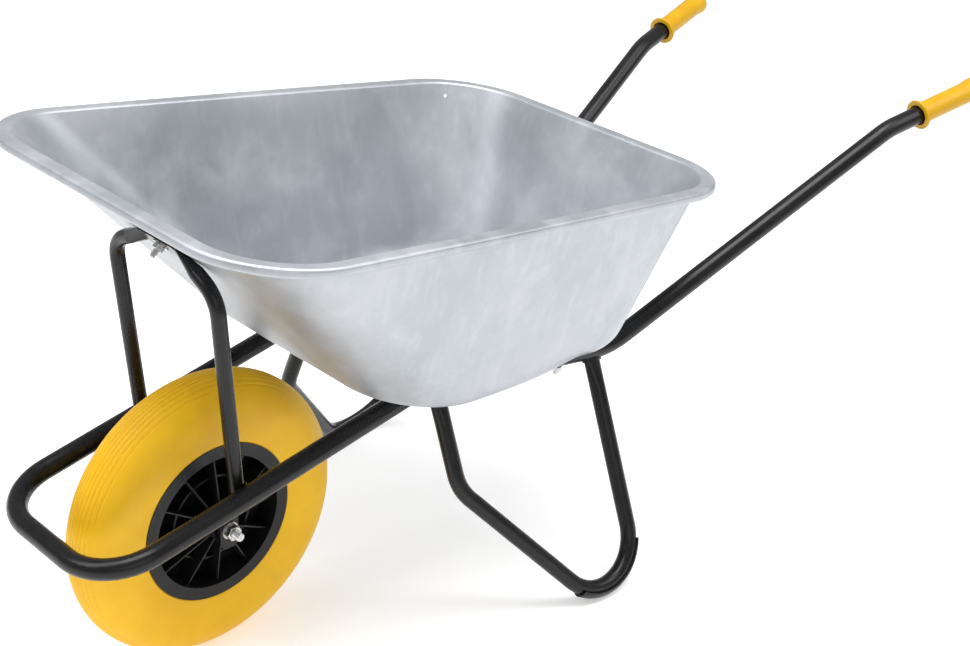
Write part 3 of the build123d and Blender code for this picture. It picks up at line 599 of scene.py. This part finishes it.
def turned_mesh(name, profile, segments, joined=False):
    """A mesh turned about the Y axis. Its ends are closed flat, or joined to each other."""
    return ring_mesh(name, turned_rings(profile, segments), closed_ends=not joined, joined=joined)


def moved(mesh, matrix):
    """The same mesh, moved by a matrix."""
    mesh.transform(matrix)
    return mesh


# ---- tyre ----

TYRE_WIDEST_R = 156 * MM
TYRE_SEGMENTS = 192
SIDE_STEPS = 18
CROWN_STEPS = 190
RIM_HALF_W = 37.5 * MM
RIM_SEAT_R = 99 * MM
RIM_FLANGE_T = 4 * MM
BEAD_INSET = 1 * MM
BEAD_LEAN = 0.3
GROOVES = [0.07 + 0.14 * i for i in range(5)]    # on each side, shares of the half width
GROOVE_HALF_W = 0.9 * MM
GROOVE_DEPTH = 1.1 * MM


def tyre_skin(tyre_r, half_w, flange_r, flange_y):
    """The tyre's outside from one bead over the crown, as (radius, y), for one half."""
    points = []
    rise = TYRE_WIDEST_R - flange_r
    for k in range(SIDE_STEPS):
        t = k / SIDE_STEPS
        leaving = 2 * t ** 3 - 3 * t ** 2 + 1
        leaning = t ** 3 - 2 * t ** 2 + t
        arriving = 3 * t ** 2 - 2 * t ** 3
        y = leaving * flange_y + leaning * rise * BEAD_LEAN + arriving * half_w
        points.append((flange_r + rise * t, y))
    for k in range(CROWN_STEPS + 1):
        a = math.pi / 2 * k / CROWN_STEPS
        y = half_w * math.cos(a)
        radius = TYRE_WIDEST_R + (tyre_r - TYRE_WIDEST_R) * math.sin(a)
        for place in GROOVES:
            off = (y - place * half_w) / GROOVE_HALF_W
            radius -= GROOVE_DEPTH * math.exp(-off * off)
        points.append((radius, y))
    return points


def foam_tyre():
    """The foam tyre, turned about the axle and seated between the rim's flanges."""
    tyre_r = (TYRE_HIGH.z - TYRE_LOW.z) / 2
    half_w = (TYRE_HIGH.y - TYRE_LOW.y) / 2
    flange_r = (RIM_HIGH.z - RIM_LOW.z) / 2
    flange_y = RIM_HALF_W - BEAD_INSET
    seat_y = RIM_HALF_W - RIM_FLANGE_T
    skin = tyre_skin(tyre_r, half_w, flange_r, flange_y)
    left = [(RIM_SEAT_R, seat_y), (flange_r, seat_y)] + skin
    right = [(radius, -y) for radius, y in reversed(left)]
    mesh = turned_mesh("tyre_foam", left + right[1:], TYRE_SEGMENTS, joined=True)
    placed("tyre_foam", moved(mesh, Matrix.Translation(AXLE)), "wheel", "yellow_foam", ["tyre"])


# ---- hex pieces and threads ----

HEX_SEGMENTS = 72
HEX_FLAT_SHARE = 0.475         # radius of a hexagon's flat face, as a share of its width
HEX_CHAMFER = math.radians(30)
SHANK_SEGMENTS = 28
THREAD_DEPTH_SHARE = 0.55      # of the pitch
THREAD_STEPS = 6               # rings in one pitch
SHANK_END_SLOPE = 0.9
BOLT_CRISP = 28                # degrees: sharper edges than this stay crisp
NUT_CRISP = 18


def hex_reach(angle, across):
    """How far a hexagon reaches from its centre in one direction."""
    return across / 2 / math.cos(angle % (math.pi / 3) - math.pi / 6)


def hex_mesh(name, across, height, bore, both_ends):
    """A chamfered hexagon nut or head, standing on y = 0 and pointing along +Y."""
    flat_r = across * HEX_FLAT_SHARE
    slope = math.tan(HEX_CHAMFER)
    levels = [("low", flat_r), ("low", None), ("high", None), ("high", flat_r)]
    if bore:
        levels = [("low", bore)] + levels + [("high", bore)]
    rings = []
    for level, radius in levels:
        ring = []
        for k in range(HEX_SEGMENTS):
            a = 2 * math.pi * k / HEX_SEGMENTS
            reach = hex_reach(a, across) if radius is None else radius
            cut = max(0.0, reach - flat_r) * slope
            if level == "low":
                y = cut if both_ends else 0.0
            else:
                y = height - cut
            ring.append(Vector((reach * math.cos(a), y, reach * math.sin(a))))
        rings.append(ring)
    return ring_mesh(name, rings, joined=bore > 0, closed_ends=bore == 0)


def threaded_mesh(name, radius, start, end, pitch, thread_from):
    """A bolt's shank along +Y: plain, then threaded up to a chamfered end."""
    depth = pitch * THREAD_DEPTH_SHARE
    rings = []
    step = pitch / THREAD_STEPS
    levels = [start, thread_from - step]
    levels += [thread_from + step * i for i in range(int((end - thread_from) / step))]
    levels.append(end)
    for level in levels:
        ring = []
        for k in range(SHANK_SEGMENTS):
            a = 2 * math.pi * k / SHANK_SEGMENTS
            reach = radius
            if level >= thread_from:
                turn = (level / pitch - a / (2 * math.pi)) % 1.0
                reach = radius - depth * abs(2 * turn - 1)
            reach = min(reach, radius - depth + max(0.0, end - level) * SHANK_END_SLOPE)
            ring.append(Vector((reach * math.cos(a), level, reach * math.sin(a))))
        rings.append(ring)
    return ring_mesh(name, rings, closed_ends=True)


def joined_meshes(name, meshes):
    """One mesh from several."""
    shape = bmesh.new()
    for mesh in meshes:
        shape.from_mesh(mesh)
    whole = bpy.data.meshes.new(name)
    shape.to_mesh(whole)
    shape.free()
    return whole


AXLE_R = 6 * MM
AXLE_HEAD_H = 7.5 * MM
AXLE_ACROSS = 19 * MM
AXLE_PITCH = 1.75 * MM
SMALL_ACROSS = 13 * MM
SMALL_PITCH = 1.25 * MM
SMALL_NUT_H = 6.5 * MM
SMALL_BOLT_R = 4 * MM
BRACE_STRIP_T = 5.5 * MM
SMALL_WASHER_T = 1.5 * MM
BRACE_BOLT_END = 11 * MM
BOLT_SHARE = 0.72              # place of the brace's bolt up the front wall
DOME_R = 9 * MM
DOME_H = 4 * MM
DOME_POWER = 0.7               # under 1 makes the dome fuller
DOME_EDGE_H = 0.6 * MM
DOME_ANGLES = range(10, 90, 10)    # degrees from its top
DOME_SEGMENTS = 40
AXLE_BORE_GAP = 0.4 * MM       # how far a nut's bore reaches into the thread
SMALL_BORE_GAP = 0.3 * MM
AXLE_THREAD_BEFORE_NUT = 2 * MM


def zinc_piece(name, mesh, node, crisp):
    """A zinc-plated piece on the frame that stands for one CAD node."""
    smooth_by_angle(placed(name, mesh, "frame", "zinc_plate", [node]), crisp)


def axle_pieces():
    """The axle bolt and its nut, with real threads."""
    low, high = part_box("axle_bolt")
    nut_low, nut_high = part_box("axle_nut")
    head_y = low.y + AXLE_HEAD_H
    head = hex_mesh("head", AXLE_ACROSS, AXLE_HEAD_H, 0, False)
    head = moved(head, Matrix.Translation((AXLE.x, head_y, AXLE.z)) @ Matrix.Rotation(math.pi, 4, "Z"))
    thread_from = nut_low.y - AXLE_THREAD_BEFORE_NUT
    shank = threaded_mesh("shank", AXLE_R, head_y - MM, high.y, AXLE_PITCH, thread_from)
    shank = moved(shank, Matrix.Translation((AXLE.x, 0, AXLE.z)))
    bolt = joined_meshes("axle_bolt_threaded", [head, shank])
    zinc_piece("axle_bolt_threaded", bolt, "axle_bolt", BOLT_CRISP)
    bore = AXLE_R - AXLE_BORE_GAP
    nut = hex_mesh("axle_nut_hex", AXLE_ACROSS, nut_high.y - nut_low.y, bore, True)
    nut = moved(nut, Matrix.Translation((AXLE.x, nut_low.y, AXLE.z)))
    zinc_piece("axle_nut_hex", nut, "axle_nut", NUT_CRISP)


def brace_bolt_place():
    """From a bolt along +Y, standing on the wall's outer face, to the row's frame."""
    length = (PAN_RIM["front"] - PAN_RIM["rear"]) / 2 - RIM_W
    low = pan_place() @ Vector((PAN_FLOOR["front"], 0, 0))
    high = pan_place() @ rim_place() @ Vector((length, 0, 0))
    up = (high - low).normalized()
    out = Vector((up.z, 0, -up.x))
    at = low.lerp(high, BOLT_SHARE)
    side = out.cross(up)
    return Matrix.Translation(at) @ Matrix((side, out, up)).transposed().to_4x4()


def brace_bolt_pieces():
    """The bolt and nut that hold the brace to the pan's front wall."""
    place = brace_bolt_place()
    nut_y = BRACE_STRIP_T + SMALL_WASHER_T
    end_y = nut_y + SMALL_NUT_H + BRACE_BOLT_END
    dome = []
    for degrees in DOME_ANGLES:
        a = math.radians(degrees)
        dome.append((DOME_R * math.sin(a), -SHEET - DOME_H * math.cos(a) ** DOME_POWER))
    dome += [(DOME_R, -SHEET - DOME_EDGE_H), (DOME_R, -SHEET)]
    head = turned_mesh("dome", dome, DOME_SEGMENTS)
    shank = threaded_mesh("small_shank", SMALL_BOLT_R, -SHEET, end_y, SMALL_PITCH, nut_y - MM)
    bolt = moved(joined_meshes("brace_bolt_threaded", [head, shank]), place)
    zinc_piece("brace_bolt_threaded", bolt, "brace_bolt", BOLT_CRISP)
    nut = hex_mesh("brace_nut_hex", SMALL_ACROSS, SMALL_NUT_H, SMALL_BOLT_R - SMALL_BORE_GAP, True)
    nut = moved(nut, place @ Matrix.Translation((0, nut_y, 0)))
    zinc_piece("brace_nut_hex", nut, "brace_nut", NUT_CRISP)


make_camera()
make_lights()
make_floor()
paint_nodes()
sheet_pan()
foam_tyre()
axle_pieces()
brace_bolt_pieces()
